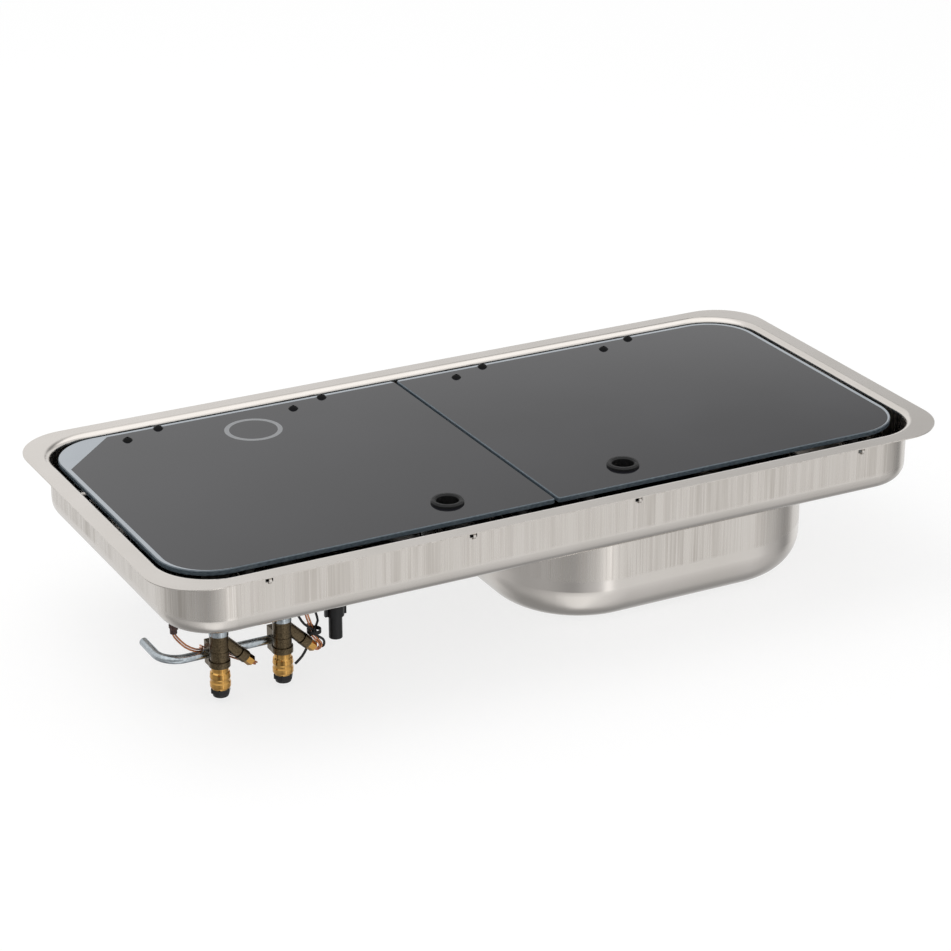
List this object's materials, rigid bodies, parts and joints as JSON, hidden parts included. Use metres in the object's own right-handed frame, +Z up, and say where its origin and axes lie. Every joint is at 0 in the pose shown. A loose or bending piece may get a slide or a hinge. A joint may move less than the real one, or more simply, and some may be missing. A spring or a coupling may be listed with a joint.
{
  "type": "hob and sink combination",
  "caption": "Built-in gas hob and sink combination: a pressed steel tray with a deep bowl, gas taps below and hinged tinted glass lids flush with the rim.",
  "frame": {"origin": "centre of the worktop cut-out, on the worktop surface that the flange rests on", "axes": "+X along the worktop towards the bowl end, +Y to the hinged back edge, +Z up"},
  "size_m": [0.775, 0.375, 0.151],
  "materials": {
    "satin_steel": "satin",
    "polished_steel": "polished",
    "zinc_plated_steel": "zinc plated, satin",
    "cast_aluminium": "matt cast",
    "brass": "machined",
    "bronze_casting": "dull cast",
    "copper": "drawn",
    "tinted_glass": "polished",
    "black_rubber": "matt",
    "black_plastic": "matt",
    "black_enamel": "satin enamel",
    "black_screw_steel": "black oxide",
    "white_ceramic": "glazed",
    "brown_plastic": "matt"
  },
  "bodies": {
    "hob_and_sink": {"tray_flange": "satin_steel", "tray_walls": "satin_steel", "tray_floor": "satin_steel", "sink_bowl": "satin_steel", "waste_strainer": "polished_steel", "lid_rests": "satin_steel", "lid_buffers": "black_rubber", "hinge_brackets": "black_screw_steel", "hinge_pins": "zinc_plated_steel", "rear_burner_cup": "cast_aluminium", "rear_burner_crown": "cast_aluminium", "rear_burner_cap": "black_enamel", "front_burner_cup": "cast_aluminium", "front_burner_crown": "cast_aluminium", "front_burner_cap": "black_enamel", "rear_pan_support": "black_enamel", "front_pan_support": "black_enamel", "pan_support_feet": "black_rubber", "injectors": "brass", "spark_electrodes": "white_ceramic", "thermocouple_probes": "zinc_plated_steel", "left_tap_cover": "zinc_plated_steel", "right_tap_cover": "zinc_plated_steel", "left_tap_body": "bronze_casting", "right_tap_body": "bronze_casting", "left_magnet_nut": "brass", "right_magnet_nut": "brass", "left_union": "brass", "right_union": "brass", "union_caps": "black_plastic", "tap_screws": "zinc_plated_steel", "knob_seals": "black_rubber", "gas_rail": "zinc_plated_steel", "rail_clamps": "bronze_casting", "left_feed_pipe": "cast_aluminium", "right_feed_pipe": "cast_aluminium", "feed_nuts": "brass", "igniter_body": "black_plastic", "igniter_nut": "black_plastic", "igniter_bracket": "satin_steel", "left_thermocouple_lead": "copper", "right_thermocouple_lead": "copper", "lead_clip": "brown_plastic", "ignition_leads": "black_plastic", "cable_tie": "black_plastic"},
    "left_lid": {"left_lid_glass": "tinted_glass", "left_lid_leaves": "black_screw_steel", "left_lid_screws": "black_screw_steel", "left_lid_grommet": "black_rubber"},
    "right_lid": {"right_lid_glass": "tinted_glass", "right_lid_leaves": "black_screw_steel", "right_lid_screws": "black_screw_steel", "right_lid_grommet": "black_rubber"},
    "left_tap_push": {"left_spring_seat": "zinc_plated_steel"},
    "left_tap_knob": {"left_spindle": "zinc_plated_steel", "left_knob": "black_plastic"},
    "right_tap_push": {"right_spring_seat": "zinc_plated_steel"},
    "right_tap_knob": {"right_spindle": "zinc_plated_steel", "right_knob": "black_plastic"},
    "spark_button": {"igniter_button": "black_plastic"}
  },
  "joints": [
    {"name": "left_lid_hinge", "type": "hinge", "parent": "hob_and_sink", "child": "left_lid", "pos_m": [-0.18875, 0.1667, -0.0042], "axis": [-1, 0, 0], "range_deg": [0, 90]},
    {"name": "right_lid_hinge", "type": "hinge", "parent": "hob_and_sink", "child": "right_lid", "pos_m": [0.145, 0.1667, -0.0042], "axis": [-1, 0, 0], "range_deg": [0, 90]},
    {"name": "left_tap_push_in", "type": "slide", "parent": "hob_and_sink", "child": "left_tap_push", "axis": [0, 0, -1], "range_m": [0, 0.003], "stiffness_N_per_m": 800, "springref_m": -0.002},
    {"name": "left_tap_turn", "type": "hinge", "parent": "left_tap_push", "child": "left_tap_knob", "pos_m": [-0.30701, -0.09901, -0.04], "axis": [0, 0, 1], "range_deg": [0, 210]},
    {"name": "right_tap_push_in", "type": "slide", "parent": "hob_and_sink", "child": "right_tap_push", "axis": [0, 0, -1], "range_m": [0, 0.003], "stiffness_N_per_m": 800, "springref_m": -0.002},
    {"name": "right_tap_turn", "type": "hinge", "parent": "right_tap_push", "child": "right_tap_knob", "pos_m": [-0.24851, -0.09901, -0.04], "axis": [0, 0, 1], "range_deg": [0, 210]},
    {"name": "spark_button_press", "type": "slide", "parent": "hob_and_sink", "child": "spark_button", "axis": [0, 0, -1], "range_m": [0, 0.003], "stiffness_N_per_m": 500, "springref_m": -0.002}
  ]
}
